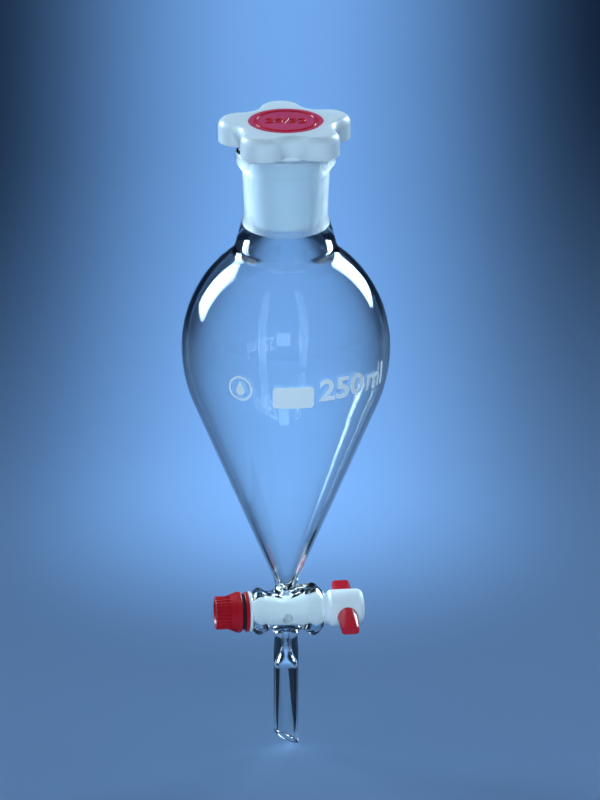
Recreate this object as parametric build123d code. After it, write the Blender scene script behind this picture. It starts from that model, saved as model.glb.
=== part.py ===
from build123d import *
import math
import os

# Pear-shaped separatory funnel, 250 ml, with a 29/32 stopper and a PTFE stopcock.
# Frame: the origin is on the funnel's axis, level with the lowest point of the stem tip.
# +Z is up along the funnel's axis; +X is along the stopcock's axis, towards its lever.
# Millimetres and degrees.

# Stopcock's place
STOPCOCK_Z = 55.9            # stopcock axis above the stem tip

# Bulb
BULB_DIAMETER = 80.0
BULB_WALL = 1.8
CONE_HALF_ANGLE = 23.0       # lower cone, from the funnel's axis
BELLY_ARC = 58.0             # arc between the cone and the widest section
SHOULDER_ARC = 48.0          # arc between the widest section and the neck
STEM_BLEND = 10.0            # outside arc between the cone and the tube below it
CONE_FOOT_ABOVE_BARREL = 4.25  # where cone and tube would meet with no blend

# Neck, between the shoulder and the ground socket
NECK_LENGTH = 6.4            # from the shoulder arc to the foot of the ground zone
NECK_BLEND = 6.0             # outside arc between the shoulder and the neck
INNER_NECK_BLEND = 9.0
NECK_LEAN = 15.0             # slope of the neck's outside
INNER_NECK_LEAN = 24.0
NECK_SEAM_DROP = 1.0         # seam between bulb and socket, below the ground zone

# Ground socket, standard taper 29/32
JOINT_DIAMETER = 29.2        # bore at the rim
JOINT_LENGTH = 32.0
JOINT_TAPER = 0.1            # loss of diameter for each unit of length
SOCKET_WALL = 2.7
WAIST_ABOVE_FOOT = 6.0       # narrowest outside section of the socket
WAIST_BLEND = 12.0
RIM_DIAMETER = 38.4
RIM_HEIGHT = 5.0
RIM_SLOPE_HEIGHT = 3.2
RIM_EDGE = 1.4
RIM_LIP = 0.5

# Tubes above and below the stopcock
INLET_TUBE_DIAMETER = 8.4
OUTLET_TUBE_DIAMETER = 9.0
STEM_DIAMETER = 9.5
STEM_BORE = 6.3
CHANNEL_BORE = 2.4           # narrow glass passage above and below the key
CHANNEL_TAPER_LENGTH = 1.2
PORT_DIAMETER = 4.2          # the passage where it opens onto the key
PORT_FLARE_LENGTH = 1.0
INLET_SEAM_ABOVE_BARREL = 1.8
OUTLET_SEAM_BELOW_BARREL = 4.3
STEM_WIDENING_LENGTH = 2.5   # from the outlet tube's width to the stem's
STEM_FLARE_START = 2.0       # below the outlet seam
STEM_FLARE_LENGTH = 9.0
TIP_CUT_ANGLE = 40.0         # slope of the cut at the tip
TIP_LOW_SIDE = 42.0          # direction of its lowest point, from +X towards +Y
TIP_EDGE = 0.35

# Stopcock barrel
BARREL_WALL = 1.5            # at the foot of the bead on the lever's side
NUT_SIDE_ROOM = 2.2          # plain barrel between the wider tube and each bead
LEVER_SIDE_ROOM = 1.5
NUT_BEAD_RISE = 1.5
NUT_BEAD_LENGTH = 5.2
LEVER_BEAD_RISE = 2.5
LEVER_BEAD_LENGTH = 6.9
BEAD_SLOPE = 1.6
BEAD_EDGE = 1.2
BEAD_FOOT_BLEND = 0.4
STUB_FILLET = 0.8

# Key
KEY_LARGE_DIAMETER = 13.2    # at the barrel's lever end
KEY_TAPER = 0.1
KEY_BORE = 4.0
KEY_CLEARANCE = 0.05         # radial, between key and barrel
KEY_SET_BACK = 0.3           # the plug ends this far inside the barrel's nut end
KEY_TURNED = 15.0            # the lever's drop below level, with the stopcock closed
KEY_NECK_DIAMETER = 11.5
KEY_NECK_LENGTH = 1.8
HUB_DIAMETER = 14.1
HUB_LENGTH = 13.6
HUB_CHAMFER = 0.8
HUB_ROUNDING = 2.6

# Lever
LEVER_LENGTH = 32.0
LEVER_DIAMETER = 8.0         # round where it passes through the hub
LEVER_TIP_WIDTH = 6.7
LEVER_TIP_THICKNESS = 3.4
LEVER_TIP_CORNER = 1.2
LEVER_TIP_EDGE = 0.6
LEVER_ROUND_CORNER = 3.9     # the hub's section, drawn with the same corners as the tip's

# Tension end of the key
THREAD_DIAMETER = 8.0
THREAD_FLATS = 6.8           # across the two flats that keep the washers from turning
THREAD_CLEARANCE = 0.05      # radial, between the thread and the nut
WASHER_CLEARANCE = 0.10
STACK_PLAY = 0.05            # end play between parts that turn against each other
FACE_WASHER_DIAMETER = 15.6
FACE_WASHER_THICKNESS = 1.1
PRESSURE_WASHER_DIAMETER = 15.4
PRESSURE_WASHER_THICKNESS = 1.5
WASHER_EDGE = 0.4
RING_DIAMETER = 13.8
RING_THICKNESS = 1.3
RING_EDGE = 0.5
NUT_LENGTH = 10.0
NUT_SMALL_DIAMETER = 12.8
NUT_LARGE_DIAMETER = 15.8
NUT_STRAIGHT = 4.6           # straight length before the bell
NUT_BELL = 3.6
NUT_RIBS = 28
NUT_GROOVE_DIAMETER = 0.9
NUT_RECESS = 1.2             # the key's end sits this far inside the nut
NUT_MOUTH_CHAMFER = 0.6
NUT_EDGE = 0.5

# Stopper
STOPPER_LOBES = 5
LOBE_TIP_DIAMETER = 52.6
LOBE_ARC = 9.0
FOOT_VALLEY_DIAMETER = 34.8  # across the bottoms of the valleys, at the head's underside
TOP_VALLEY_DIAMETER = 41.0   # and at its top
LOBE_DIRECTION = 89.0        # first lobe, from +X towards +Y
HEAD_THICKNESS = 8.9
HEAD_GAP = 2.2               # from the socket's rim to the head
HEAD_TOP_FILLET = 3.0
HEAD_NECK_INSET = 0.8        # the plain neck is this much smaller in radius than the rim's bore
HEAD_NECK_REACH = 1.5        # how far the neck goes down into the socket
PLUG_SHORTFALL = 2.8         # the plug ends this far above the ground zone's foot
PLUG_CLEARANCE = 0.04        # radial, between plug and socket
PLUG_WALL = 1.7
PLUG_FLOOR = 1.8
PLUG_EDGE = 0.6
DISC_DIAMETER = 29.0
DISC_THICKNESS = 1.4
DISC_EDGE = 0.3

# Stations along the stopcock's axis
INLET_TUBE_RADIUS = INLET_TUBE_DIAMETER / 2
OUTLET_TUBE_RADIUS = OUTLET_TUBE_DIAMETER / 2
WIDER_TUBE_RADIUS = max(INLET_TUBE_RADIUS, OUTLET_TUBE_RADIUS)
NUT_BEAD_FOOT = -(WIDER_TUBE_RADIUS + NUT_SIDE_ROOM)
LEVER_BEAD_FOOT = WIDER_TUBE_RADIUS + LEVER_SIDE_ROOM
BARREL_NUT_END = NUT_BEAD_FOOT - BEAD_SLOPE - NUT_BEAD_LENGTH
BARREL_LEVER_END = LEVER_BEAD_FOOT + BEAD_SLOPE + LEVER_BEAD_LENGTH
KEY_END = BARREL_NUT_END + KEY_SET_BACK
HUB_START = BARREL_LEVER_END + KEY_NECK_LENGTH
LEVER_X = HUB_START + HUB_LENGTH / 2
FACE_WASHER_X = BARREL_NUT_END - STACK_PLAY
PRESSURE_WASHER_X = FACE_WASHER_X - FACE_WASHER_THICKNESS
RING_X = PRESSURE_WASHER_X - PRESSURE_WASHER_THICKNESS
NUT_X = RING_X - RING_THICKNESS - STACK_PLAY
THREAD_END = NUT_X - NUT_LENGTH + NUT_RECESS


def key_radius(x):
    """Radius of the key's plug at a station along the stopcock's axis."""
    return (KEY_LARGE_DIAMETER - KEY_TAPER * (BARREL_LEVER_END - x)) / 2


# Heights along the funnel's axis
BARREL_RADIUS = key_radius(LEVER_BEAD_FOOT) + KEY_CLEARANCE + BARREL_WALL
INLET_SEAM_Z = STOPCOCK_Z + BARREL_RADIUS + INLET_SEAM_ABOVE_BARREL
OUTLET_SEAM_Z = STOPCOCK_Z - BARREL_RADIUS - OUTLET_SEAM_BELOW_BARREL
CONE_FOOT_Z = STOPCOCK_Z + BARREL_RADIUS + CONE_FOOT_ABOVE_BARREL
CONE_SLOPE = math.tan(math.radians(CONE_HALF_ANGLE))
BULB_RADIUS = BULB_DIAMETER / 2
CONE_TOP_RADIUS = BULB_RADIUS - BELLY_ARC * (1 - math.cos(math.radians(CONE_HALF_ANGLE)))
CONE_TOP_Z = CONE_FOOT_Z + (CONE_TOP_RADIUS - INLET_TUBE_RADIUS) / CONE_SLOPE
BELLY_Z = CONE_TOP_Z + BELLY_ARC * math.sin(math.radians(CONE_HALF_ANGLE))
WAIST_RADIUS = (JOINT_DIAMETER - JOINT_TAPER * (JOINT_LENGTH - WAIST_ABOVE_FOOT)) / 2 + SOCKET_WALL
SHOULDER_CENTRE = Vector(BULB_RADIUS - SHOULDER_ARC, BELLY_Z)
SHOULDER_RISE = math.sqrt(SHOULDER_ARC ** 2 - (WAIST_RADIUS - SHOULDER_CENTRE.X) ** 2)
GROUND_FOOT_Z = BELLY_Z + SHOULDER_RISE + NECK_LENGTH
NECK_SEAM_Z = GROUND_FOOT_Z - NECK_SEAM_DROP
RIM_Z = GROUND_FOOT_Z + JOINT_LENGTH
HEAD_FOOT_Z = RIM_Z + HEAD_GAP
HEAD_TOP_Z = HEAD_FOOT_Z + HEAD_THICKNESS

# Outlines are drawn as (radius, height) for the funnel, (station, radius) for the stopcock
FUNNEL_PLANE = Plane.XZ
STOPCOCK_PLANE = Plane(origin=(0, 0, STOPCOCK_Z), x_dir=(1, 0, 0), z_dir=(0, -1, 0))
STOPCOCK_AXIS = Axis((0, 0, STOPCOCK_Z), (1, 0, 0))


def about_funnel(outline):
    """Solid of revolution about the funnel's axis."""
    return revolve(FUNNEL_PLANE * make_face(outline), Axis.Z)


def about_stopcock(outline):
    """Solid of revolution about the stopcock's axis."""
    return revolve(STOPCOCK_PLANE * make_face(outline), STOPCOCK_AXIS)


def closed_line(corners):
    """Closed outline of straight lines."""
    return Polyline(*corners, close=True).edges()


def closed_round_line(corners):
    """Closed outline of straight lines from (first, second, corner radius) triples."""
    points = [(first, second) for first, second, _ in corners]
    return FilletPolyline(*points, radius=[radius for _, _, radius in corners], close=True).edges()


def disc_along_stopcock(start, length, radius):
    """Cylinder on the stopcock's axis from a station towards the nut."""
    return about_stopcock(closed_line([(start, 0), (start, radius), (start - length, radius), (start - length, 0)]))


def socket_bore(z):
    """Radius of the ground socket at a height."""
    return (JOINT_DIAMETER - JOINT_TAPER * (RIM_Z - z)) / 2


def neck_line(outside):
    """Top point, slope and blend of the neck's straight side, on either face of the glass."""
    if outside:
        return Vector(WAIST_RADIUS, GROUND_FOOT_Z + WAIST_ABOVE_FOOT), NECK_LEAN, NECK_BLEND
    return Vector(socket_bore(GROUND_FOOT_Z), GROUND_FOOT_Z), INNER_NECK_LEAN, INNER_NECK_BLEND


def neck_seam_radius(outside):
    """Radius of either face of the glass at the seam between bulb and socket."""
    top, lean, _ = neck_line(outside)
    return top.X + (top.Y - NECK_SEAM_Z) * math.tan(math.radians(lean))


def bulb_side(outside):
    """One face of the bulb's glass, from the seam at the neck down to the end of the cone's arc."""
    inset = 0 if outside else BULB_WALL
    shoulder = SHOULDER_ARC - inset
    belly = BELLY_ARC - inset
    top, lean, blend = neck_line(outside)
    down = Vector(math.sin(math.radians(lean)), -math.cos(math.radians(lean)))
    away = Vector(math.cos(math.radians(lean)), math.sin(math.radians(lean)))
    # The blend's centre keeps its own radius from the neck line and touches the shoulder arc
    start = top + away * blend - SHOULDER_CENTRE
    drop = -start.dot(down) - math.sqrt(start.dot(down) ** 2 - start.dot(start) + (shoulder + blend) ** 2)
    centre = top + away * blend + down * drop
    on_neck = top + down * drop
    outward = (centre - SHOULDER_CENTRE).normalized()
    on_shoulder = SHOULDER_CENTRE + outward * shoulder
    middle = centre - (away + outward).normalized() * blend
    rise = math.degrees(math.atan2(outward.Y, outward.X))
    belly_centre = (BULB_RADIUS - BELLY_ARC, BELLY_Z)
    return [
        Line((neck_seam_radius(outside), NECK_SEAM_Z), on_neck),
        ThreePointArc(on_neck, middle, on_shoulder),
        CenterArc(SHOULDER_CENTRE, shoulder, 0, rise),
        CenterArc(belly_centre, belly, -CONE_HALF_ANGLE, CONE_HALF_ANGLE),
    ]


def cone_end(inset):
    """Upper end of the cone's straight side, on the outside or set in from it."""
    angle = math.radians(CONE_HALF_ANGLE)
    return Vector(CONE_TOP_RADIUS - inset * math.cos(angle), CONE_TOP_Z + inset * math.sin(angle))


def inner_cone_radius(z):
    """Radius of the inside of the cone at a height."""
    top = cone_end(BULB_WALL)
    return top.X - (top.Y - z) * CONE_SLOPE


def stem_blend():
    """Outside of the cone's foot: its straight side, the blend and the tube."""
    angle = math.radians(CONE_HALF_ANGLE)
    reach = STEM_BLEND * math.tan(angle / 2)
    on_cone = Vector(INLET_TUBE_RADIUS + reach * math.sin(angle), CONE_FOOT_Z + reach * math.cos(angle))
    on_tube = Vector(INLET_TUBE_RADIUS, CONE_FOOT_Z - reach)
    centre = on_tube + Vector(STEM_BLEND, 0)
    middle = centre - Vector(math.cos(angle / 2), -math.sin(angle / 2)) * STEM_BLEND
    return [
        Line(cone_end(0), on_cone),
        ThreePointArc(on_cone, middle, on_tube),
        Line(on_tube, (INLET_TUBE_RADIUS, INLET_SEAM_Z)),
    ]


def pear_bulb():
    """Bulb, cone and neck blend, from the inlet seam up to the seam under the ground socket."""
    inlet_radius = inner_cone_radius(INLET_SEAM_Z)
    inner_cone = Line(cone_end(BULB_WALL), (inlet_radius, INLET_SEAM_Z))
    foot = Line((inlet_radius, INLET_SEAM_Z), (INLET_TUBE_RADIUS, INLET_SEAM_Z))
    top = Line((neck_seam_radius(False), NECK_SEAM_Z), (neck_seam_radius(True), NECK_SEAM_Z))
    return about_funnel(bulb_side(True) + stem_blend() + [foot, inner_cone] + bulb_side(False) + [top])


def ground_socket():
    """Tapered 29/32 socket with its rolled rim."""
    slope_foot_z = RIM_Z - RIM_HEIGHT - RIM_SLOPE_HEIGHT
    rim_radius = RIM_DIAMETER / 2
    corners = [
        (neck_seam_radius(False), NECK_SEAM_Z, 0),
        (socket_bore(GROUND_FOOT_Z), GROUND_FOOT_Z, 0),
        (socket_bore(RIM_Z), RIM_Z, RIM_LIP),
        (rim_radius, RIM_Z, RIM_EDGE),
        (rim_radius, RIM_Z - RIM_HEIGHT, RIM_EDGE),
        (socket_bore(slope_foot_z) + SOCKET_WALL, slope_foot_z, RIM_EDGE),
        (WAIST_RADIUS, GROUND_FOOT_Z + WAIST_ABOVE_FOOT, WAIST_BLEND),
        (neck_seam_radius(True), NECK_SEAM_Z, 0),
    ]
    return about_funnel(closed_round_line(corners))


def tapered_plug(start, end, extra):
    """The key's taper between two stations, larger in radius by extra."""
    first = key_radius(start) + extra
    last = key_radius(end) + extra
    return about_stopcock(closed_line([(start, 0), (start, first), (end, last), (end, 0)]))


def stopcock_barrel():
    """Horizontal barrel with its two beads, and the stubs that lead in from above and out below."""
    nut_bead = BARREL_RADIUS + NUT_BEAD_RISE
    lever_bead = BARREL_RADIUS + LEVER_BEAD_RISE
    corners = [
        (BARREL_NUT_END, 0, 0),
        (BARREL_NUT_END, nut_bead, BEAD_EDGE),
        (NUT_BEAD_FOOT - BEAD_SLOPE, nut_bead, BEAD_EDGE),
        (NUT_BEAD_FOOT, BARREL_RADIUS, BEAD_FOOT_BLEND),
        (LEVER_BEAD_FOOT, BARREL_RADIUS, BEAD_FOOT_BLEND),
        (LEVER_BEAD_FOOT + BEAD_SLOPE, lever_bead, BEAD_EDGE),
        (BARREL_LEVER_END, lever_bead, BEAD_EDGE),
        (BARREL_LEVER_END, 0, 0),
    ]
    barrel = about_stopcock(closed_round_line(corners))
    inlet = Pos(0, 0, STOPCOCK_Z) * extrude(Circle(INLET_TUBE_RADIUS), INLET_SEAM_Z - STOPCOCK_Z)
    outlet = Pos(0, 0, OUTLET_SEAM_Z) * extrude(Circle(OUTLET_TUBE_RADIUS), STOPCOCK_Z - OUTLET_SEAM_Z)
    body = barrel + inlet + outlet
    body = fillet(body.edges().filter_by(is_stub_join), STUB_FILLET)
    body -= tapered_plug(BARREL_NUT_END, BARREL_LEVER_END, KEY_CLEARANCE)
    return body - inlet_channel() - outlet_channel()


def is_stub_join(edge):
    """True for the curves where a stub meets the barrel."""
    centre = edge.center(CenterOf.BOUNDING_BOX)
    on_axis = abs(centre.X) < BEAD_EDGE and abs(centre.Y) < BEAD_EDGE
    height = abs(centre.Z - STOPCOCK_Z)
    return on_axis and BARREL_RADIUS / 2 < height < BARREL_RADIUS and edge.geom_type != GeomType.CIRCLE


def inlet_channel():
    """Passage from the cone down to the key."""
    channel = CHANNEL_BORE / 2
    port = PORT_DIAMETER / 2
    flare_z = STOPCOCK_Z + BARREL_RADIUS - BARREL_WALL + PORT_FLARE_LENGTH
    corners = [
        (0, INLET_SEAM_Z),
        (inner_cone_radius(INLET_SEAM_Z), INLET_SEAM_Z),
        (channel, INLET_SEAM_Z - CHANNEL_TAPER_LENGTH),
        (channel, flare_z),
        (port, flare_z - PORT_FLARE_LENGTH),
        (port, STOPCOCK_Z),
        (0, STOPCOCK_Z),
    ]
    return about_funnel(closed_line(corners))


def outlet_channel():
    """Passage from the key down to the stem."""
    channel = CHANNEL_BORE / 2
    port = PORT_DIAMETER / 2
    flare_z = STOPCOCK_Z - BARREL_RADIUS + BARREL_WALL - PORT_FLARE_LENGTH
    corners = [
        (0, OUTLET_SEAM_Z),
        (channel, OUTLET_SEAM_Z),
        (channel, flare_z),
        (port, flare_z + PORT_FLARE_LENGTH),
        (port, STOPCOCK_Z),
        (0, STOPCOCK_Z),
    ]
    return about_funnel(closed_line(corners))


def drain_stem():
    """Drain tube, narrow in bore at its top, with a slanted and fire-polished tip."""
    outside = STEM_DIAMETER / 2
    flare_top = OUTLET_SEAM_Z - STEM_FLARE_START
    corners = [
        (CHANNEL_BORE / 2, OUTLET_SEAM_Z),
        (OUTLET_TUBE_RADIUS, OUTLET_SEAM_Z),
        (outside, OUTLET_SEAM_Z - STEM_WIDENING_LENGTH),
        (outside, -STEM_DIAMETER),
        (STEM_BORE / 2, -STEM_DIAMETER),
        (STEM_BORE / 2, flare_top - STEM_FLARE_LENGTH),
        (CHANNEL_BORE / 2, flare_top),
    ]
    tube = about_funnel(closed_line(corners))
    slope = math.radians(TIP_CUT_ANGLE)
    low = Vector(math.cos(math.radians(TIP_LOW_SIDE)), math.sin(math.radians(TIP_LOW_SIDE)), 0)
    facing_down = low * -math.sin(slope) + Vector(0, 0, -math.cos(slope))
    # The sharp corner starts this far down, so that the polished edge ends level with the origin
    polish_loss = TIP_EDGE * (1 / math.tan(math.radians(90 - TIP_CUT_ANGLE) / 2) - 1)
    cut_plane = Plane(origin=low * outside - Vector(0, 0, polish_loss), z_dir=facing_down)
    cutter = cut_plane * extrude(Circle(STEM_DIAMETER * 2), STEM_DIAMETER * 2)
    tube -= cutter
    rims = [edge for edge in tube.edges() if edge.center(CenterOf.BOUNDING_BOX).Z < STEM_DIAMETER / 2]
    rims = [edge for edge in rims if edge.geom_type == GeomType.ELLIPSE]
    return fillet(rims, TIP_EDGE)


def turned_key(shape):
    """Turn a piece of the key from level to its closed, slightly dropped position."""
    return shape.rotate(STOPCOCK_AXIS, KEY_TURNED)


def flatted_rod(start, end, extra):
    """The key's threaded end, round with two flats, larger by extra all round."""
    rod = disc_along_stopcock(start, start - end, THREAD_DIAMETER / 2 + extra)
    width = THREAD_DIAMETER + 2 * extra
    flats = Box(start - end, width, THREAD_FLATS + 2 * extra)
    return rod & Pos((start + end) / 2, 0, STOPCOCK_Z) * flats


def ptfe_key():
    """Tapered plug with its cross bore, the threaded end, and the hub that holds the lever."""
    plug = tapered_plug(KEY_END, BARREL_LEVER_END, 0)
    neck = disc_along_stopcock(HUB_START, KEY_NECK_LENGTH, KEY_NECK_DIAMETER / 2)
    hub_end = HUB_START + HUB_LENGTH
    hub_radius = HUB_DIAMETER / 2
    hub = disc_along_stopcock(hub_end, HUB_LENGTH, hub_radius)
    hub = fillet(hub.faces().sort_by(Axis.X)[-1].edges(), HUB_ROUNDING)
    hub = chamfer(hub.faces().sort_by(Axis.X)[0].edges(), HUB_CHAMFER)
    rod = flatted_rod(KEY_END, THREAD_END, 0)
    bore = Pos(0, 0, STOPCOCK_Z) * Rot(90, 0, 0) * Cylinder(KEY_BORE / 2, KEY_LARGE_DIAMETER * 2)
    return turned_key(plug + neck + hub + rod - bore - lever_middle(HUB_DIAMETER))


def lever_section(y, width, thickness, corner):
    """Section of the lever at a distance along it."""
    plane = Plane(origin=(LEVER_X, y, STOPCOCK_Z), x_dir=(1, 0, 0), z_dir=(0, -1, 0))
    return plane * RectangleRounded(width, thickness, corner)


def lever_middle(length):
    """Straight middle of the lever, which fills the hole through the hub."""
    section = lever_section(length / 2, LEVER_DIAMETER, LEVER_DIAMETER, LEVER_ROUND_CORNER)
    return extrude(section, length)


def lever_arm(side):
    """One arm, from the round middle to its flat tip."""
    root = lever_section(side * HUB_DIAMETER / 2, LEVER_DIAMETER, LEVER_DIAMETER, LEVER_ROUND_CORNER)
    tip = lever_section(side * LEVER_LENGTH / 2, LEVER_TIP_WIDTH, LEVER_TIP_THICKNESS, LEVER_TIP_CORNER)
    arm = loft([root, tip])
    return fillet(arm.faces().sort_by(Axis.Y)[0 if side < 0 else -1].edges(), LEVER_TIP_EDGE)


def lever():
    """Bar through the hub, round in the middle and flattened towards its tips."""
    return turned_key(lever_middle(HUB_DIAMETER) + lever_arm(-1) + lever_arm(1))


def flat_washer(start, thickness, diameter):
    """Washer on the key's flatted end, with rounded rims."""
    washer = disc_along_stopcock(start, thickness, diameter / 2)
    washer = fillet(washer.edges().filter_by(GeomType.CIRCLE), WASHER_EDGE)
    hole = flatted_rod(start + thickness, start - 2 * thickness, WASHER_CLEARANCE)
    return turned_key(washer - hole)


def rubber_ring():
    """Flat rubber ring that springs the nut against the pressure washer."""
    hole = THREAD_DIAMETER / 2 + WASHER_CLEARANCE
    outside = RING_DIAMETER / 2
    corners = [
        (RING_X, hole, 0),
        (RING_X, outside, RING_EDGE),
        (RING_X - RING_THICKNESS, outside, RING_EDGE),
        (RING_X - RING_THICKNESS, hole, 0),
    ]
    return about_stopcock(closed_round_line(corners))


def tension_nut():
    """Bell-shaped ribbed nut that draws the key into the barrel."""
    small = NUT_SMALL_DIAMETER / 2
    large = NUT_LARGE_DIAMETER / 2
    hole = THREAD_DIAMETER / 2 + THREAD_CLEARANCE
    outer_end = NUT_X - NUT_LENGTH
    bell_start = outer_end + NUT_STRAIGHT
    corners = [
        (NUT_X, hole, 0),
        (NUT_X, large, NUT_EDGE),
        (bell_start + NUT_BELL, large, NUT_EDGE),
        (bell_start, small, NUT_BELL),
        (outer_end, small, NUT_EDGE),
        (outer_end, hole + NUT_MOUTH_CHAMFER, 0),
        (outer_end + NUT_MOUTH_CHAMFER, hole, 0),
    ]
    nut = about_stopcock(closed_round_line(corners))
    groove = Rot(0, 90, 0) * Cylinder(NUT_GROOVE_DIAMETER / 2, 2 * (NUT_STRAIGHT + NUT_BELL))
    groove = Pos(outer_end, small, STOPCOCK_Z) * groove
    grooves = [groove.rotate(STOPCOCK_AXIS, 360 / NUT_RIBS * index) for index in range(NUT_RIBS)]
    return nut - grooves


def star(height, valley_diameter):
    """Rounded star at a height: one arc for each lobe and one for each valley, all tangent."""
    step = 360 / STOPPER_LOBES
    lobe_distance = LOBE_TIP_DIAMETER / 2 - LOBE_ARC
    valley = valley_diameter / 2
    across = lobe_distance * math.sin(math.radians(step / 2))
    beyond = valley - lobe_distance * math.cos(math.radians(step / 2))
    valley_arc = (beyond ** 2 + across ** 2 - LOBE_ARC ** 2) / (2 * (LOBE_ARC - beyond))
    edges = []
    for index in range(STOPPER_LOBES):
        here = Vector(1, 0).rotate(Axis.Z, LOBE_DIRECTION + step * index)
        before = here.rotate(Axis.Z, -step / 2)
        after = here.rotate(Axis.Z, step / 2)
        following = here.rotate(Axis.Z, step)
        start = toward(here * lobe_distance, before * (valley + valley_arc), LOBE_ARC)
        end = toward(here * lobe_distance, after * (valley + valley_arc), LOBE_ARC)
        next_start = toward(following * lobe_distance, after * (valley + valley_arc), LOBE_ARC)
        edges.append(ThreePointArc(start, here * (lobe_distance + LOBE_ARC), end))
        edges.append(ThreePointArc(end, after * valley, next_start))
    return Pos(0, 0, height) * make_face(edges)


def toward(start, goal, distance):
    """The point at a distance from start on the way to goal."""
    return start + (goal - start).normalized() * distance


def stopper():
    """Hollow stopper: tapered ground-joint plug, plain neck and lobed head with a seat for the disc."""
    foot_z = GROUND_FOOT_Z + PLUG_SHORTFALL
    neck_z = RIM_Z - HEAD_NECK_REACH
    neck = socket_bore(RIM_Z) - HEAD_NECK_INSET
    corners = [
        (0, foot_z, 0),
        (socket_bore(foot_z) - PLUG_CLEARANCE, foot_z, PLUG_EDGE),
        (socket_bore(neck_z) - PLUG_CLEARANCE, neck_z, 0),
        (neck, neck_z, 0),
        (neck, HEAD_FOOT_Z + HEAD_THICKNESS / 2, 0),
        (0, HEAD_FOOT_Z + HEAD_THICKNESS / 2, 0),
    ]
    plug = about_funnel(closed_round_line(corners))
    head = loft([star(HEAD_FOOT_Z, FOOT_VALLEY_DIAMETER), star(HEAD_TOP_Z, TOP_VALLEY_DIAMETER)], ruled=True)
    head = fillet(head.faces().sort_by(Axis.Z)[-1].edges(), HEAD_TOP_FILLET)
    core = socket_bore(foot_z) - PLUG_CLEARANCE - PLUG_WALL
    core_foot = foot_z + PLUG_FLOOR
    hollow = Pos(0, 0, core_foot) * extrude(Circle(core), HEAD_TOP_Z - core_foot)
    seat = Pos(0, 0, HEAD_TOP_Z - DISC_THICKNESS) * extrude(Circle(DISC_DIAMETER / 2), DISC_THICKNESS)
    return plug + head - hollow - seat


def stopper_disc():
    """Disc that closes the stopper's hollow, flush with the head."""
    disc = Pos(0, 0, HEAD_TOP_Z - DISC_THICKNESS) * extrude(Circle(DISC_DIAMETER / 2), DISC_THICKNESS)
    return fillet(disc.faces().sort_by(Axis.Z)[-1].edges(), DISC_EDGE)


def export(shape, name):
    """Write one sub-part under its own name."""
    export_step(shape, f"parts/{name}.step")


os.makedirs("parts", exist_ok=True)
export(pear_bulb(), "pear_bulb")
export(ground_socket(), "ground_socket")
export(stopcock_barrel(), "stopcock_barrel")
export(drain_stem(), "drain_stem")
export(ptfe_key(), "ptfe_key")
export(lever(), "lever")
export(flat_washer(FACE_WASHER_X, FACE_WASHER_THICKNESS, FACE_WASHER_DIAMETER), "face_washer")
export(flat_washer(PRESSURE_WASHER_X, PRESSURE_WASHER_THICKNESS, PRESSURE_WASHER_DIAMETER), "pressure_washer")
export(rubber_ring(), "rubber_ring")
export(tension_nut(), "tension_nut")
export(stopper(), "stopper")
export(stopper_disc(), "stopper_disc")
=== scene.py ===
import math
import bmesh
import bpy
import numpy as np
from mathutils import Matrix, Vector


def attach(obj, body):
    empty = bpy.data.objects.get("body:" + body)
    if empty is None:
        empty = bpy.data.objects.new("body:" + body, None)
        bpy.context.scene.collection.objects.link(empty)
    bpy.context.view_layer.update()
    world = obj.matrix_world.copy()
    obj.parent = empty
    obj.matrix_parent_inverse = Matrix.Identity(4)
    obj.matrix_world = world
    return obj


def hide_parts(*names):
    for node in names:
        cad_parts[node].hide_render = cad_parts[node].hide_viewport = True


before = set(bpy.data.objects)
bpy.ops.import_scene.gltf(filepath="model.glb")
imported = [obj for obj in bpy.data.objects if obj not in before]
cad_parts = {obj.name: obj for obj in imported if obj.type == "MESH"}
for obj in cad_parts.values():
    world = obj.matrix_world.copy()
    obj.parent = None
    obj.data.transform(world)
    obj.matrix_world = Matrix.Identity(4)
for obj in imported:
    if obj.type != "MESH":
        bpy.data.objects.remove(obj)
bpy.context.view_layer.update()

# Separatory funnel: one fused glass body with its enamel prints, and looks for the CAD nodes.
# Sizes are in millimetres, as in the CAD, and become metres when a mesh is made.
MM = 0.001

# Sizes shared with the CAD part
STOPCOCK_Z = 55.9
BULB_RADIUS = 40.0
BULB_WALL = 1.8
CONE_ANGLE = math.radians(23.0)
BELLY_ARC = 58.0
SHOULDER_ARC = 48.0
STEM_BLEND = 10.0
CONE_FOOT_ABOVE_BARREL = 4.25
NECK_LENGTH = 6.4
NECK_BLENDS = (6.0, 9.0)                # outside, inside
NECK_LEANS = (math.radians(15.0), math.radians(24.0))
JOINT_RADIUS = 14.6
JOINT_LENGTH = 32.0
JOINT_SLOPE = 0.05                      # loss of radius for each unit of depth
SOCKET_WALL = 2.7
WAIST_ABOVE_FOOT = 6.0
RIM_RADIUS = 19.2
RIM_HEIGHT = 5.0
RIM_SLOPE_HEIGHT = 3.2
INLET_RADIUS = 4.2
OUTLET_RADIUS = 4.5
STEM_RADIUS = 4.75
STEM_BORE_RADIUS = 3.15
CHANNEL_RADIUS = 1.2
PORT_RADIUS = 2.1
BARREL_RADIUS = 7.725
BARREL_ENDS = (-13.5, 14.5)
KEY_RADIUS = 6.6                        # at the lever's end of the barrel
KEY_SLOPE = 0.05
KEY_CLEARANCE = 0.05
TIP_SLOPE = math.tan(math.radians(40.0))
TIP_LOW_SIDE = math.radians(42.0)
HEAD_TOP_ABOVE_RIM = 11.1
DISC_RADIUS = 14.5

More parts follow.
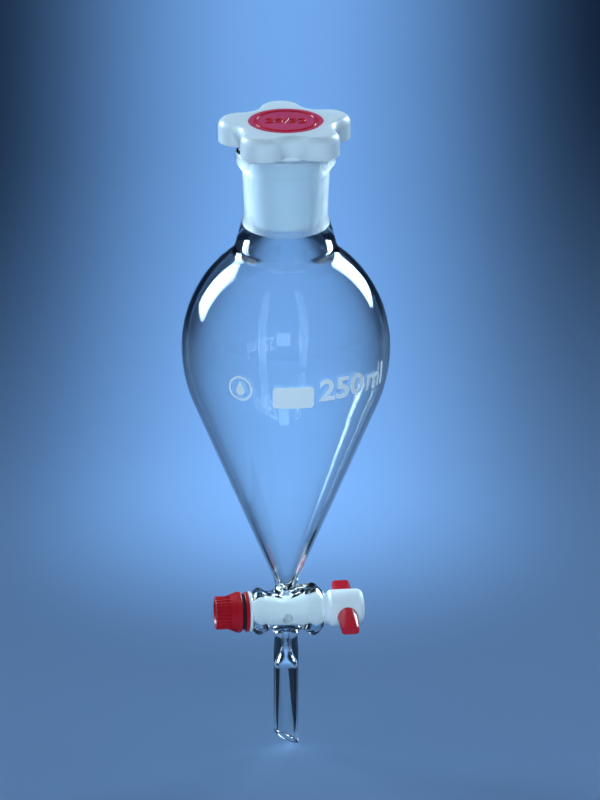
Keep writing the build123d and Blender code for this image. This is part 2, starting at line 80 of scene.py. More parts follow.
# Prints on the bulb: directions around the axis from +X, heights above the floor, and sizes
PRINT_FACES = (0.012, 0.06)             # the enamel's two faces above the glass
VOLUME_START = math.radians(-78.5)
VOLUME_BASE_Z = 154.3
VOLUME_HEIGHT = 9.0
UNIT_GAP = 2.2
PANEL_MIDDLE = (math.radians(-93.2), 156.6)
PANEL_SIZE = (15.9, 8.8)
PANEL_CORNER = 1.5
MARK_MIDDLE = (math.radians(-123.5), 159.2)
MARK_RADIUS = 5.0
MARK_LINE = 0.8
DROP_RADIUS = 1.75

# Lettering on the stopper's disc
RELIEF_FACES = (0.004, 0.3)             # its two faces above the disc
RELIEF_TURN = math.radians(-7.5)
RELIEF_RING = (DISC_RADIUS - 2.4, DISC_RADIUS - 3.1)
JOINT_SIZE_HEIGHT = 5.2

# Heights that follow from them
INLET_SEAM_Z = STOPCOCK_Z + BARREL_RADIUS + 1.8
OUTLET_SEAM_Z = STOPCOCK_Z - BARREL_RADIUS - 4.3
CONE_FOOT_Z = STOPCOCK_Z + BARREL_RADIUS + CONE_FOOT_ABOVE_BARREL
CONE_TOP_RADIUS = BULB_RADIUS - BELLY_ARC * (1 - math.cos(CONE_ANGLE))
CONE_TOP_Z = CONE_FOOT_Z + (CONE_TOP_RADIUS - INLET_RADIUS) / math.tan(CONE_ANGLE)
BELLY_Z = CONE_TOP_Z + BELLY_ARC * math.sin(CONE_ANGLE)
SHOULDER_CENTRE = np.array([BULB_RADIUS - SHOULDER_ARC, BELLY_Z])
WAIST_RADIUS = JOINT_RADIUS - JOINT_SLOPE * (JOINT_LENGTH - WAIST_ABOVE_FOOT) + SOCKET_WALL
GROUND_FOOT_Z = BELLY_Z + math.sqrt(SHOULDER_ARC ** 2 - (WAIST_RADIUS - SHOULDER_CENTRE[0]) ** 2) + NECK_LENGTH
RIM_Z = GROUND_FOOT_Z + JOINT_LENGTH
DISC_TOP_Z = RIM_Z + HEAD_TOP_ABOVE_RIM

LATHE_SEGMENTS = 160

# Light and camera
LIGHT = (0.64, 0.85, 1.0)
CAMERA_AZIMUTH = math.radians(-7.5)
CAMERA_ELEVATION = math.radians(19.7)
CAMERA_DISTANCE = 8.0
CAMERA_AIM_HEIGHT = 0.1418
CAMERA_AIM_RIGHT = 0.0054


# ---------------------------------------------------------------- outlines and meshes

def arc(centre, radius, start, end, step=1.6):
    """Points along an arc between two angles in radians, about step mm apart."""
    count = max(4, int(abs(end - start) * radius / step) + 1)
    angles = np.linspace(start, end, count)
    return [(centre[0] + radius * math.cos(a), centre[1] + radius * math.sin(a)) for a in angles]


def rounded(corners, steps=7):
    """Points of an open line of (first, second, corner radius) triples with its corners rounded."""
    points = []
    for index, (first, second, radius) in enumerate(corners):
        here = np.array([first, second])
        if radius == 0 or index in (0, len(corners) - 1):
            points.append(tuple(here))
            continue
        back = np.array(corners[index - 1][:2]) - here
        ahead = np.array(corners[index + 1][:2]) - here
        back /= np.linalg.norm(back)
        ahead /= np.linalg.norm(ahead)
        half = math.acos(np.clip(back @ ahead, -1, 1)) / 2
        reach = radius / math.tan(half)
        for t in np.linspace(0, 1, steps):
            # A quadratic curve through the fillet's ends, close to the arc
            a, b = here + back * reach, here + ahead * reach
            weight = math.sin(half)
            blend = (1 - t) ** 2 + 2 * weight * t * (1 - t) + t ** 2
            points.append(tuple(((1 - t) ** 2 * a + 2 * weight * t * (1 - t) * here + t ** 2 * b) / blend))
    return points


def socket_bore(z):
    return JOINT_RADIUS - JOINT_SLOPE * (RIM_Z - z)


def bulb_face(inside):
    """One face of the bulb's glass, from the neck down to the end of the cone's arc."""
    inset = BULB_WALL * inside
    shoulder = SHOULDER_ARC - inset
    belly = BELLY_ARC - inset
    lean, blend = NECK_LEANS[inside], NECK_BLENDS[inside]
    if inside:
        top = np.array([socket_bore(GROUND_FOOT_Z), GROUND_FOOT_Z])
    else:
        top = np.array([WAIST_RADIUS, GROUND_FOOT_Z + WAIST_ABOVE_FOOT])
    down = np.array([math.sin(lean), -math.cos(lean)])
    away = np.array([math.cos(lean), math.sin(lean)])
    start = top + away * blend - SHOULDER_CENTRE
    drop = -start @ down - math.sqrt((start @ down) ** 2 - start @ start + (shoulder + blend) ** 2)
    centre = top + away * blend + down * drop
    outward = centre - SHOULDER_CENTRE
    rise = math.atan2(outward[1], outward[0])
    points = arc(centre, blend, math.pi + lean, math.pi + rise, 0.7)
    points += arc(SHOULDER_CENTRE, shoulder, rise, 0)[1:]
    points += arc((BULB_RADIUS - BELLY_ARC, BELLY_Z), belly, 0, -CONE_ANGLE)[1:]
    return points


def outer_face():
    """Outside of the glass from under the rim down to the inlet seam."""
    neck = bulb_face(0)
    socket = rounded([
        (RIM_RADIUS, RIM_Z - 1.9, 0),
        (RIM_RADIUS, RIM_Z - RIM_HEIGHT, 2.0),
        (socket_bore(RIM_Z - RIM_HEIGHT - RIM_SLOPE_HEIGHT) + SOCKET_WALL, RIM_Z - RIM_HEIGHT - RIM_SLOPE_HEIGHT, 3.0),
        (WAIST_RADIUS, GROUND_FOOT_Z + WAIST_ABOVE_FOOT, 14.0),
        (neck[0][0], neck[0][1], 0),
    ], 9)
    reach = STEM_BLEND * math.tan(CONE_ANGLE / 2)
    foot = arc((INLET_RADIUS + STEM_BLEND, CONE_FOOT_Z - reach), STEM_BLEND, math.pi - CONE_ANGLE, math.pi, 0.4)
    cone_top = neck[-1]
    cone = [tuple(np.array(cone_top) * (1 - t) + np.array(foot[0]) * t) for t in np.linspace(0, 1, 24)]
    return socket[:-1] + neck + cone[1:-1] + foot + [(INLET_RADIUS, INLET_SEAM_Z)]


def inner_face():
    """Inside of the glass from the socket's lip down to the inlet seam."""
    neck = bulb_face(1)
    bore = [(socket_bore(z), z) for z in np.linspace(RIM_Z - 1.2, GROUND_FOOT_Z, 12)]
    end = np.array(neck[-1])
    seam = np.array([end[0] - (end[1] - INLET_SEAM_Z) * math.tan(CONE_ANGLE), INLET_SEAM_Z])
    cone = [tuple(end * (1 - t) + seam * t) for t in np.linspace(0, 1, 30)]
    return bore, neck + cone[1:]


def lathe(points, segments=LATHE_SEGMENTS):
    """Vertices and quads of an open outline turned about the funnel's axis."""
    radii = np.array([p[0] for p in points])
    heights = np.array([p[1] for p in points])
    angles = np.arange(segments) * 2 * math.pi / segments
    x = radii[:, None] * np.cos(angles)
    y = radii[:, None] * np.sin(angles)
    z = np.repeat(heights[:, None], segments, 1)
    rows = np.arange(len(points) - 1)[:, None] * segments
    columns = np.arange(segments)
    following = (columns + 1) % segments
    quads = np.stack([rows + columns, rows + following, rows + segments + following, rows + segments + columns], -1)
    return np.stack([x, y, z], -1).reshape(-1, 3), quads.reshape(-1, 4)


# ---------------------------------------------------------------- stopcock glass as a field

def smooth_min(a, b, width):
    near = np.clip(width - np.abs(a - b), 0, None)
    return np.minimum(a, b) - near * near / (4 * width)


def smooth_max(a, b, width):
    return -smooth_min(-a, -b, width)


def swell(x, centre, half_width, rise):
    """Rise of a bead at stations x."""
    u = np.clip((x - centre) / half_width, -1, 1)
    return rise * (np.cos(math.pi * u) + 1) / 2


def glass_field(x, y, z):
    """Negative in the glass of the stopcock. z is counted from the stopcock's axis."""
    across = np.hypot(y, z)
    around = np.hypot(x, y)
    barrel = across - 7.7 - swell(x, -10.6, 3.6, 1.5) - swell(x, 10.2, 4.6, 2.5)
    middle = sum(BARREL_ENDS) / 2
    ends = np.abs(x - middle) - (BARREL_ENDS[1] - middle)
    tube = around - np.where(z > 0, INLET_RADIUS, OUTLET_RADIUS)
    outside = smooth_min(smooth_max(barrel, ends, 2.4), tube, 2.6)
    key = across - (KEY_RADIUS + KEY_CLEARANCE - KEY_SLOPE * (BARREL_ENDS[1] - x))
    channel = around - np.interp(np.abs(z), [6.2, 7.6], [PORT_RADIUS, CHANNEL_RADIUS])
    return smooth_max(outside, -smooth_min(key, channel, 0.5), 0.5)


def surface_net(field, low, high, pitch):
    """Surface of a field as one vertex per crossed cell, drawn onto the surface, and its quads."""
    counts = [int(round((h - l) / pitch)) + 1 for l, h in zip(low, high)]
    axes = [np.linspace(l, h, n) for l, h, n in zip(low, high, counts)]
    grid = np.meshgrid(*axes, indexing="ij")
    values = field(*grid)
    cells = tuple(n - 1 for n in counts)
    total = np.zeros(cells + (3,))
    count = np.zeros(cells)
    crossings = []
    for axis in range(3):
        first = [slice(None)] * 3
        second = [slice(None)] * 3
        first[axis] = slice(None, -1)
        second[axis] = slice(1, None)
        a, b = values[tuple(first)], values[tuple(second)]
        crossed = (a < 0) != (b < 0)
        share = np.where(crossed, a / np.where(crossed, a - b, 1), 0)
        point = np.stack([g[tuple(first)] for g in grid], -1)
        point[..., axis] += share * (axes[axis][1] - axes[axis][0])
        crossings.append((crossed, a < 0))
        p, q = (axis + 1) % 3, (axis + 2) % 3
        for i in (0, 1):
            for j in (0, 1):
                part = [slice(None)] * 3
                part[p] = slice(i, counts[p] - 1 + i)
                part[q] = slice(j, counts[q] - 1 + j)
                here = crossed[tuple(part)]
                total += point[tuple(part)] * here[..., None]
                count += here
    used = count > 0
    index = np.full(cells, -1)
    index[used] = np.arange(used.sum())
    points = total[used] / count[used][:, None]
    faces = []
    for axis in range(3):
        crossed, inside = crossings[axis]
        p, q = (axis + 1) % 3, (axis + 2) % 3
        at = np.argwhere(crossed)
        at = at[(at[:, p] > 0) & (at[:, q] > 0) & (at[:, p] < counts[p] - 1) & (at[:, q] < counts[q] - 1)]
        corners = []
        for i, j in ((1, 1), (0, 1), (0, 0), (1, 0)):
            cell = at.copy()
            cell[:, p] -= i
            cell[:, q] -= j
            corners.append(index[tuple(cell.T)])
        quads = np.stack(corners, -1)
        outward = inside[tuple(at.T)]
        faces.append(np.where(outward[:, None], quads, quads[:, ::-1]))
    for _ in range(5):
        value = field(*points.T)
        slope = np.stack([
            (field(*(points + step).T) - field(*(points - step).T)) / 0.02 for step in np.eye(3) * 0.01
        ], -1)
        points -= slope * (value / np.maximum((slope ** 2).sum(-1), 0.05))[:, None]
    return points, np.concatenate(faces)


def open_rings(quads):
    """The closed rings of vertices along a mesh's open edges."""
    edges = np.concatenate([quads[:, [i, (i + 1) % 4]] for i in range(4)])
    keys = {tuple(e) for e in edges.tolist()}
    following = {a: b for a, b in keys if (b, a) not in keys}
    rings = []
    while following:
        start = next(iter(following))
        ring, here = [], start
        while here in following:
            ring.append(here)
            here = following.pop(here)
        rings.append(ring)
    return rings


def ring_angles(points, ring):
    """Angles of a ring's vertices about the funnel's axis, rising, and the ring in that order."""
    angles = np.unwrap(np.arctan2(points[ring, 1], points[ring, 0]))
    if angles[-1] < angles[0]:
        ring = ring[::-1]
        angles = angles[::-1]
    turn = np.argmin(np.mod(angles, 2 * math.pi))
    ring = list(ring[turn:]) + list(ring[:turn])
    angles = np.unwrap(np.arctan2(points[ring, 1], points[ring, 0]))
    return ring + [ring[0]], np.append(angles - 2 * math.pi * round(angles[0] / (2 * math.pi)), angles[0] + 2 * math.pi)


def stitch(points, ring_a, ring_b):
    """Triangles between two rings about the funnel's axis."""
    a, angle_a = ring_angles(points, ring_a)
    b, angle_b = ring_angles(points, ring_b)
    i = j = 0
    faces = []
    while i < len(a) - 1 or j < len(b) - 1:
        if j == len(b) - 1 or (i < len(a) - 1 and angle_a[i + 1] < angle_b[j + 1]):
            faces.append((a[i], a[i + 1], b[j]))
            i += 1
        else:
            faces.append((a[i], b[j + 1], b[j]))
            j += 1
    return faces


def eased(first, last, t):
    """A value that leaves first and reaches last without a corner, for t from 0 to 1."""
    return first + (last - first) * (3 * t * t - 2 * t ** 3)


def stem_points():
    """The stem's outline turned about the axis, its end then sheared to the slanted cut."""
    lip = (STEM_RADIUS - STEM_BORE_RADIUS) / 2
    middle = STEM_RADIUS - lip
    shear_top = 15.0
    outside = [(OUTLET_RADIUS, OUTLET_SEAM_Z)]
    outside += [(eased(OUTLET_RADIUS, STEM_RADIUS, t), OUTLET_SEAM_Z - 2.5 * t) for t in np.linspace(0.2, 1, 5)]
    outside += [(STEM_RADIUS, z) for z in np.linspace(OUTLET_SEAM_Z - 5, shear_top, 9)]
    outside += [(STEM_RADIUS, z) for z in np.linspace(shear_top, lip, 16)[1:-1]]
    end = arc((middle, lip), lip, 0, -math.pi, 0.16)
    bore = [(STEM_BORE_RADIUS, z) for z in np.linspace(lip, shear_top, 16)[1:]]
    flare_top = OUTLET_SEAM_Z - 2.0
    bore += [(STEM_BORE_RADIUS, z) for z in np.linspace(shear_top, flare_top - 9.5, 7)[1:]]
    bore += [(eased(STEM_BORE_RADIUS, CHANNEL_RADIUS, t), flare_top - 9.5 * (1 - t)) for t in np.linspace(0, 1, 16)[1:]]
    bore += [(CHANNEL_RADIUS, OUTLET_SEAM_Z)]
    points, quads = lathe(outside + end + bore)
    along = points[:, 0] * math.cos(TIP_LOW_SIDE) + points[:, 1] * math.sin(TIP_LOW_SIDE)
    lowest = lip - middle * TIP_SLOPE - lip * math.hypot(1, TIP_SLOPE)
    fade = np.clip((shear_top - points[:, 2]) / (shear_top - lip), 0, 1)
    points[:, 2] += (-along * TIP_SLOPE - lowest) * fade
    return points, quads


def fused_glass():
    """Vertices, faces and material numbers of the whole glass: 1 is the ground face of the socket."""
    outer = outer_face()
    bore, inner = inner_face()
    lip = rounded([
        (RIM_RADIUS, RIM_Z - 1.9, 0),
        (RIM_RADIUS, RIM_Z, 1.8),
        (socket_bore(RIM_Z), RIM_Z, 0.9),
        bore[0] + (0,),
    ], 9)
    outline = outer[::-1] + lip[1:-1] + bore + inner[1:]
    ground_from = len(outer) + len(lip) - 2
    points, quads = lathe(outline)
    numbers = np.zeros(len(quads), int)
    numbers[ground_from * LATHE_SEGMENTS:(ground_from + len(bore) - 1) * LATHE_SEGMENTS] = 1
    last = (len(outline) - 1) * LATHE_SEGMENTS
    rings = [list(range(LATHE_SEGMENTS)), list(range(last, last + LATHE_SEGMENTS))]

    stem, stem_quads = stem_points()
    offset = len(points)
    points = np.concatenate([points, stem])
    last = len(points) - LATHE_SEGMENTS
    rings += [list(range(offset, offset + LATHE_SEGMENTS)), list(range(last, last + LATHE_SEGMENTS))]

    low = (BARREL_ENDS[0] - 1.2, -11.4, OUTLET_SEAM_Z - STOPCOCK_Z)
    high = (BARREL_ENDS[1] + 1.2, 11.4, INLET_SEAM_Z - STOPCOCK_Z)
    patch, patch_quads = surface_net(glass_field, low, high, 0.34)
    patch[:, 2] += STOPCOCK_Z
    patch_offset = len(points)
    points = np.concatenate([points, patch])
    faces = quads.tolist() + (stem_quads + offset).tolist() + (patch_quads + patch_offset).tolist()
    for open_ring in open_rings(patch_quads):
        edge = [i + patch_offset for i in open_ring]
        top = points[edge[0], 2] > STOPCOCK_Z
        wide = np.hypot(*points[edge[0], :2]) > (CHANNEL_RADIUS + INLET_RADIUS) / 2
        faces += stitch(points, edge, rings[(0 if wide else 1) if top else (2 if wide else 3)])
    return points, faces, numbers.tolist() + [0] * (len(faces) - len(numbers))


def make_mesh(name, points, faces, materials, numbers=None, smooth=True):
    """A mesh object from millimetres, its normals outward."""
    mesh = bpy.data.meshes.new(name)
    mesh.from_pydata([tuple(p) for p in np.asarray(points) * MM], [], [tuple(f) for f in faces])
    for made_material in materials:
        mesh.materials.append(made_material)
    if numbers is not None:
        mesh.polygons.foreach_set("material_index", numbers)
    solid = bmesh.new()
    solid.from_mesh(mesh)
    bmesh.ops.recalc_face_normals(solid, faces=solid.faces)
    solid.to_mesh(mesh)
    solid.free()
    mesh.polygons.foreach_set("use_smooth", [smooth] * len(mesh.polygons))
    mesh.update()
    made = bpy.data.objects.new(name, mesh)
    bpy.context.scene.collection.objects.link(made)
    return made


# ---------------------------------------------------------------- prints and lettering

def cut_flat(points, faces, pitch=1.0):
    """A flat mesh cut into triangles at every pitch, so that it can be bent round the bulb."""
    flat = bmesh.new()
    corners = [flat.verts.new((x, y, 0)) for x, y in points]
    for face in faces:
        flat.faces.new([corners[i] for i in face])
    bmesh.ops.triangulate(flat, faces=flat.faces[:])
    for axis in (0, 1):
        values = [point[axis] for point in points]
        normal = Vector((1, 0, 0)) if axis == 0 else Vector((0, 1, 0))
        for at in np.arange(math.ceil(min(values) / pitch) * pitch, max(values), pitch):
            everything = flat.verts[:] + flat.edges[:] + flat.faces[:]
            bmesh.ops.bisect_plane(flat, geom=everything, dist=1e-5, plane_co=normal * at, plane_no=normal)
    bmesh.ops.triangulate(flat, faces=flat.faces[:])
    flat.verts.index_update()
    cut = [tuple(v.co[:2]) for v in flat.verts]
    triangles = [tuple(v.index for v in face.verts) for face in flat.faces]
    flat.free()
    return cut, triangles


def flat_text(body, height, bold, stretch=1.0):
    """A text as a flat mesh, its figures of the given height and its lower left corner at the origin."""
    curve = bpy.data.curves.new("text", "FONT")
    curve.body = body
    curve.size = 1.0
    curve.offset = bold
    curve.resolution_u = 5
    holder = bpy.data.objects.new("text", curve)
    mesh = bpy.data.meshes.new_from_object(holder)
    outline = bmesh.new()
    outline.from_mesh(mesh)
    bmesh.ops.remove_doubles(outline, verts=outline.verts[:], dist=1e-5)
    outline.verts.index_update()
    points = np.array([v.co[:2] for v in outline.verts])
    faces = [tuple(v.index for v in face.verts) for face in outline.faces]
    outline.free()
    bpy.data.objects.remove(holder)
    bpy.data.curves.remove(curve)
    bpy.data.meshes.remove(mesh)
    points -= points.min(0)
    scale = height / points[:, 1].max()
    return points * (scale * stretch, scale), faces


def flat_ring(outside, inside, count=64):
    """A flat ring about the origin."""
    angles = np.arange(count) * 2 * math.pi / count
    circle = np.stack([np.cos(angles), np.sin(angles)], -1)
    faces = [(i, (i + 1) % count, count + (i + 1) % count, count + i) for i in range(count)]
    return np.concatenate([circle * outside, circle * inside]), faces


def flat_panel(width, height, corner):
    """A flat rectangle about the origin with rounded corners."""
    across, up = width / 2 - corner, height / 2 - corner
    points = []
    for x, y, first in ((across, up, 0), (-across, up, 90), (-across, -up, 180), (across, -up, 270)):
        for angle in np.radians(np.linspace(first, first + 90, 7)):
            points.append((x + corner * math.cos(angle), y + corner * math.sin(angle)))
    return points, [tuple(range(len(points)))]


def flat_drop(radius):
    """A flat drop about the origin with its point upward."""
    round_end = [(radius * math.cos(a), radius * math.sin(a) - 0.9) for a in np.radians(np.linspace(20, -200, 25))]
    points = [(0.0, 3.2)] + round_end
    return points, [tuple(range(len(points)))]


def thin_solid(name, points, faces, place, heights, made):
    """A closed solid over a flat mesh: place gives the points at a height above the surface."""
    low, high = heights
    count = len(points)
    points = np.asarray(points)
    edges = {(face[i], face[(i + 1) % len(face)]) for face in faces for i in range(len(face))}
    walls = [(a, b, b + count, a + count) for a, b in edges if (b, a) not in edges]
    lower = [tuple(i + count for i in face[::-1]) for face in faces]
    both = np.concatenate([place(points, high), place(points, low)])
    return make_mesh(name, both, list(faces) + lower + walls, [made], smooth=False)


def on_bulb(direction, height):
    """Placing of a flat print on the bulb: its origin lies in a direction and at a height."""
    profile = np.array(bulb_face(0))[::-1]

    def place(points, above):
        z = height + points[:, 1]
        radius = np.interp(z, profile[:, 1], profile[:, 0])
        slope = np.interp(z + 0.5, profile[:, 1], profile[:, 0]) - np.interp(z - 0.5, profile[:, 1], profile[:, 0])
        steep = np.hypot(1, slope)
        turn = direction + points[:, 0] / radius
        out = radius + above / steep
        return np.stack([out * np.cos(turn), out * np.sin(turn), z - above * slope / steep], -1)

    return place


def on_disc(points, above):
    """Placing of flat lettering on the stopper's disc, read from the front."""
    x = points[:, 0] * math.cos(RELIEF_TURN) - points[:, 1] * math.sin(RELIEF_TURN)
    y = points[:, 0] * math.sin(RELIEF_TURN) + points[:, 1] * math.cos(RELIEF_TURN)
    return np.stack([x, y, np.full(len(x), DISC_TOP_Z + above)], -1)


def print_on_bulb(name, shape, direction, height):
    """One enamel print that moves with the glass."""
    points, faces = cut_flat(*shape)
    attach(thin_solid(name, points, faces, on_bulb(direction, height), PRINT_FACES, white), "funnel")


def raise_on_disc(name, points, faces):
    """One raised figure that moves with the stopper."""
    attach(thin_solid(name, points, faces, on_disc, RELIEF_FACES, relief_red), "stopper")


# ---------------------------------------------------------------- materials

def material(name, **plain):
    """A new material and its Principled shader, with plain values by socket name."""
    made = bpy.data.materials.new(name)
    made.use_nodes = True
    shader = made.node_tree.nodes["Principled BSDF"]
    for socket, value in plain.items():
        shader.inputs[socket.replace("_", " ")].default_value = value
    return made, shader


def add(made, kind, **plain):
    node = made.node_tree.nodes.new(kind)
    for socket, value in plain.items():
        node.inputs[socket.replace("_", " ")].default_value = value
    return node


def noise(made, scale, detail=3.0, stretch=None):
    """Noise in the object's own coordinates, scale in features per metre."""
    place = add(made, "ShaderNodeTexCoord")
    texture = add(made, "ShaderNodeTexNoise", Scale=scale, Detail=detail)
    source = place.outputs["Object"]
    if stretch:
        mapping = add(made, "ShaderNodeMapping", Scale=stretch)
        made.node_tree.links.new(source, mapping.inputs["Vector"])
        source = mapping.outputs["Vector"]
    made.node_tree.links.new(source, texture.inputs["Vector"])
    return texture.outputs["Fac"]


def spread(made, source, socket, low, high):
    """Drive a shader socket between two numbers by a texture."""
    remap = add(made, "ShaderNodeMapRange")
    remap.inputs["To Min"].default_value = low
    remap.inputs["To Max"].default_value = high
    made.node_tree.links.new(source, remap.inputs["Value"])
    made.node_tree.links.new(remap.outputs["Result"], socket)


def tint(made, source, socket, first, second):
    """Drive a colour socket between two colours by a texture."""
    ramp = add(made, "ShaderNodeValToRGB")
    ramp.color_ramp.elements[0].position = 0.3
    ramp.color_ramp.elements[0].color = first + (1,)
    ramp.color_ramp.elements[1].position = 0.7
    ramp.color_ramp.elements[1].color = second + (1,)
    made.node_tree.links.new(source, ramp.inputs["Fac"])
    made.node_tree.links.new(ramp.outputs["Color"], socket)


def bump(made, shader, source, distance, strength=1.0):
    node = add(made, "ShaderNodeBump", Strength=strength, Distance=distance)
    made.node_tree.links.new(source, node.inputs["Height"])
    made.node_tree.links.new(node.outputs["Normal"], shader.inputs["Normal"])


def clear_to_lamps(made, shader, colour):
    """Let light from the lamps through glass, which would otherwise cast a solid shadow."""
    links = made.node_tree.links
    path = add(made, "ShaderNodeLightPath")
    through = add(made, "ShaderNodeBsdfTransparent", Color=colour)
    mix = add(made, "ShaderNodeMixShader")
    links.new(path.outputs["Is Shadow Ray"], mix.inputs[0])
    links.new(shader.outputs["BSDF"], mix.inputs[1])
    links.new(through.outputs["BSDF"], mix.inputs[2])
    links.new(mix.outputs["Shader"], made.node_tree.nodes["Material Output"].inputs["Surface"])


def clear_glass():
    """Borosilicate glass with the faint waviness of blown glass."""
    made, shader = material("borosilicate_glass", Base_Color=(0.975, 0.99, 0.985, 1), Roughness=0.0, IOR=1.474,
                            Transmission_Weight=1.0)
    bump(made, shader, noise(made, 34.0, 1.0, (1.0, 1.0, 0.35)), 0.00025, 0.25)
    clear_to_lamps(made, shader, (0.93, 0.95, 0.95, 1))
    return made


def ground_glass():
    """The socket's ground face: fine matt grinding that scatters light."""
    # The pale blue of the base colour is partly painted light: the blue cast of the studio lamps is baked into the
    # colour, over the ground glass's own pale white.
    made, shader = material("ground_glass", Base_Color=(0.66, 0.8, 0.95, 1), Roughness=0.42, IOR=1.474,
                            Transmission_Weight=0.8)
    grain = noise(made, 2600.0, 2.0)
    bump(made, shader, grain, 0.00003, 0.5)
    spread(made, noise(made, 260.0, 3.0), shader.inputs["Roughness"], 0.36, 0.48)
    clear_to_lamps(made, shader, (0.8, 0.84, 0.86, 1))
    return made


def plastic(name, first, second, roughness, grain=900.0, depth=0.000012, **plain):
    """Moulded plastic: slight colour drift, uneven gloss and a fine moulded grain."""
    made, shader = material(name, **plain)
    tint(made, noise(made, 70.0), shader.inputs["Base Color"], first, second)
    spread(made, noise(made, 160.0), shader.inputs["Roughness"], roughness - 0.05, roughness + 0.06)
    bump(made, shader, noise(made, grain), depth, 0.6)
    return made


def enamel():
    """White fired enamel, slightly grainy and a little uneven."""
    made, shader = material("white_enamel", IOR=1.5)
    # The blue of these whites is partly painted light: the cast of the blue studio lamps is baked into the white
    # enamel's colour. The spread between the two colours is the enamel's real unevenness.
    tint(made, noise(made, 500.0), shader.inputs["Base Color"], (0.88, 0.95, 0.98), (0.93, 0.97, 1.0))
    spread(made, noise(made, 900.0), shader.inputs["Roughness"], 0.45, 0.62)
    bump(made, shader, noise(made, 2400.0, 2.0), 0.00001, 0.5)
    return made


def paint(node, made):
    """Give a CAD node its material."""
    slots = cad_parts[node].data.materials
    slots.clear()
    slots.append(made)


# ---------------------------------------------------------------- stage helpers

def flat_piece(name, across, along, height, made_material):
    """A level rectangle of the stage, in metres."""
    (x0, x1), (y0, y1) = across, along
    mesh = bpy.data.meshes.new(name)
    mesh.from_pydata([(x0, y0, height), (x1, y0, height), (x1, y1, height), (x0, y1, height)], [], [(0, 1, 2, 3)])
    mesh.materials.append(made_material)
    piece = bpy.data.objects.new(name, mesh)
    bpy.context.scene.collection.objects.link(piece)
    return piece


def glass_only_card(name, across, along, height):
    """A dark card beside the tip, seen only in the glass: it draws the stem's dark edges."""
    card = flat_piece(name, across, along, height, card_material)
    card.visible_camera = False
    card.visible_shadow = False
    card.visible_diffuse = False


def softbox(name, place, aim, width, height, power, spread_angle):
    """A rectangular area lamp that the camera doesn't see directly."""
    lamp = bpy.data.lights.new(name, "AREA")
    lamp.shape = "RECTANGLE"
    lamp.size = width
    lamp.size_y = height
    lamp.energy = power
    lamp.color = LIGHT
    lamp.spread = spread_angle
    made = bpy.data.objects.new(name, lamp)
    made.location = place
    made.rotation_euler = (Vector(aim) - Vector(place)).to_track_quat("-Z", "Y").to_euler()
    made.visible_camera = False
    bpy.context.scene.collection.objects.link(made)
    return made


# ---------------------------------------------------------------- the object

glass_points, glass_faces, glass_numbers = fused_glass()
glass = make_mesh("funnel_glass", glass_points, glass_faces, [clear_glass(), ground_glass()], glass_numbers)
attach(glass, "funnel")
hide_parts("pear_bulb", "ground_socket", "stopcock_barrel", "drain_stem")

# The blue in the white polyethylene's colours is partly painted light: the blue cast of the studio lamps is baked into
# the white plastic's colour.
polyethylene = plastic("white_polyethylene", (0.74, 0.82, 0.88), (0.80, 0.87, 0.92), 0.34,
                       Subsurface_Weight=0.35, Subsurface_Radius=(0.004, 0.005, 0.006), Subsurface_Scale=1.0, IOR=1.51)
# The blue in the white PTFE's colours is partly painted light: the blue cast of the studio lamps is baked into the
# white plastic's colour.
ptfe = plastic("ptfe", (0.78, 0.83, 0.87), (0.84, 0.88, 0.91), 0.36,
               Subsurface_Weight=0.2, Subsurface_Radius=(0.002, 0.0025, 0.003), Subsurface_Scale=1.0, IOR=1.38)
# The disc's pink tone is partly painted light: the sheen of the lamps on the glossy disc is baked into its colour, over
# the disc's own red.
disc_red = plastic("red_disc", (0.64, 0.06, 0.15), (0.72, 0.075, 0.18), 0.22, IOR=1.5)
lever_red = plastic("red_lever", (0.55, 0.012, 0.025), (0.62, 0.016, 0.032), 0.2, IOR=1.5)
nut_red = plastic("dark_red_nut", (0.42, 0.006, 0.012), (0.50, 0.009, 0.017), 0.33, IOR=1.5)
rubber = plastic("black_rubber", (0.012, 0.012, 0.014), (0.022, 0.022, 0.024), 0.55, IOR=1.5)
paint("stopper", polyethylene)
paint("stopper_disc", disc_red)
paint("ptfe_key", ptfe)
paint("face_washer", ptfe)
paint("lever", lever_red)
paint("pressure_washer", nut_red)
paint("tension_nut", nut_red)
paint("rubber_ring", rubber)

white = enamel()
volume = flat_text("250", VOLUME_HEIGHT, 0.022, 1.13)
unit_start = VOLUME_START + (volume[0][:, 0].max() + UNIT_GAP) / BULB_RADIUS
print_on_bulb("print_volume", volume, VOLUME_START, VOLUME_BASE_Z)
print_on_bulb("print_unit", flat_text("ml", VOLUME_HEIGHT, 0.012), unit_start, VOLUME_BASE_Z)
print_on_bulb("print_panel", flat_panel(*PANEL_SIZE, PANEL_CORNER), *PANEL_MIDDLE)
print_on_bulb("print_mark_ring", flat_ring(MARK_RADIUS, MARK_RADIUS - MARK_LINE), *MARK_MIDDLE)
print_on_bulb("print_mark_drop", flat_drop(DROP_RADIUS), *MARK_MIDDLE)

relief_red = plastic("red_relief", (0.60, 0.02, 0.03), (0.68, 0.03, 0.04), 0.18, IOR=1.5)
figures, figure_faces = flat_text("29/32", JOINT_SIZE_HEIGHT, 0.015)
raise_on_disc("disc_ring", *flat_ring(*RELIEF_RING, 96))
raise_on_disc("disc_size", figures - (figures[:, 0].max() / 2, figures[:, 1].max() / 2), figure_faces)

# ---------------------------------------------------------------- floor, light and camera

floor_material, floor_shader = material("floor", Roughness=0.9)
floor_colour = floor_shader.inputs["Base Color"]
tint(floor_material, noise(floor_material, 3.0), floor_colour, (0.08, 0.157, 0.30), (0.087, 0.166, 0.315))
flat_piece("floor", (-6, 6), (-6, 10), 0, floor_material)

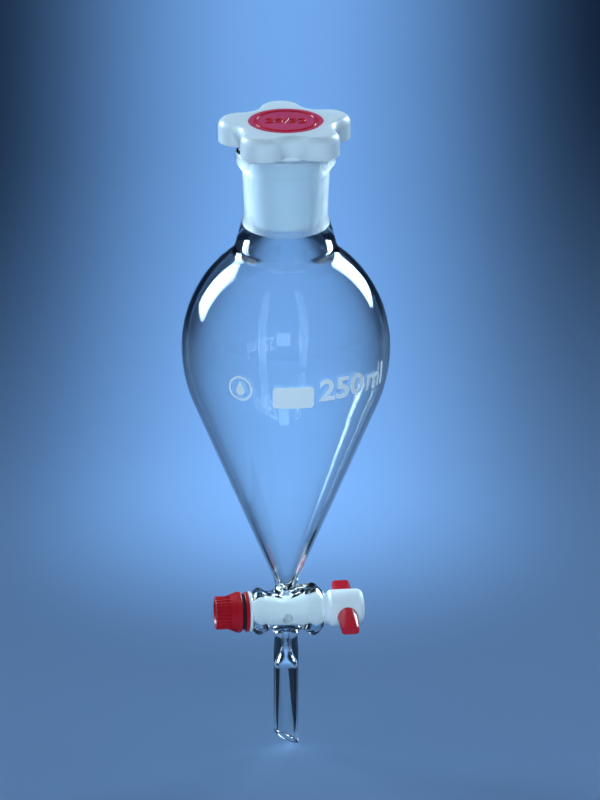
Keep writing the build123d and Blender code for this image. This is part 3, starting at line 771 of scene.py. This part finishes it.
card_material, card_shader = material("card", Roughness=0.9, Specular_IOR_Level=0.0)
card_colour = card_shader.inputs["Base Color"]
tint(card_material, noise(card_material, 20.0), card_colour, (0.008, 0.012, 0.02), (0.012, 0.018, 0.03))
glass_only_card("card_left", (-0.1, -0.018), (-0.03, 0.1), 0.0004)
glass_only_card("card_right", (0.018, 0.1), (-0.03, 0.1), 0.0004)

overhead = softbox("overhead", (0.1, 0.763, 2.0), (0.1, 0.763, 0.0), 0.06, 1.15, 1.25, math.radians(7))
overhead.rotation_euler = (0, 0, CAMERA_AZIMUTH)
softbox("left_back", (-0.85, 0.75, 0.6), (0, 0, 0.2), 0.45, 0.8, 2.4, math.radians(50))
softbox("right_back", (0.85, 0.75, 0.6), (0, 0, 0.2), 0.45, 0.8, 2.4, math.radians(50))
front = softbox("front", (-0.4, -2.75, 0.5), (0, 0, 0.15), 1.6, 0.8, 58.0, math.pi)
front.visible_glossy = False
front.visible_transmission = False

world = bpy.data.worlds.new("studio")
world.use_nodes = True
world.node_tree.nodes["Background"].inputs["Color"].default_value = (0.12, 0.2, 0.38, 1)
world.node_tree.nodes["Background"].inputs["Strength"].default_value = 0.15
bpy.context.scene.world = world
bpy.context.scene.view_settings.view_transform = "Standard"

camera_data = bpy.data.cameras.new("camera")
camera_data.lens = 937.8
camera_data.sensor_width = 36
camera_data.clip_start = 0.1
camera = bpy.data.objects.new("camera", camera_data)
back = Vector((math.sin(CAMERA_AZIMUTH) * math.cos(CAMERA_ELEVATION),
               -math.cos(CAMERA_AZIMUTH) * math.cos(CAMERA_ELEVATION), math.sin(CAMERA_ELEVATION)))
right = Vector((math.cos(CAMERA_AZIMUTH), math.sin(CAMERA_AZIMUTH), 0))
aim = Vector((0, 0, CAMERA_AIM_HEIGHT)) + right * CAMERA_AIM_RIGHT
camera.location = aim + back * CAMERA_DISTANCE
camera.rotation_euler = back.to_track_quat("Z", "Y").to_euler()
bpy.context.scene.collection.objects.link(camera)
bpy.context.scene.camera = camera
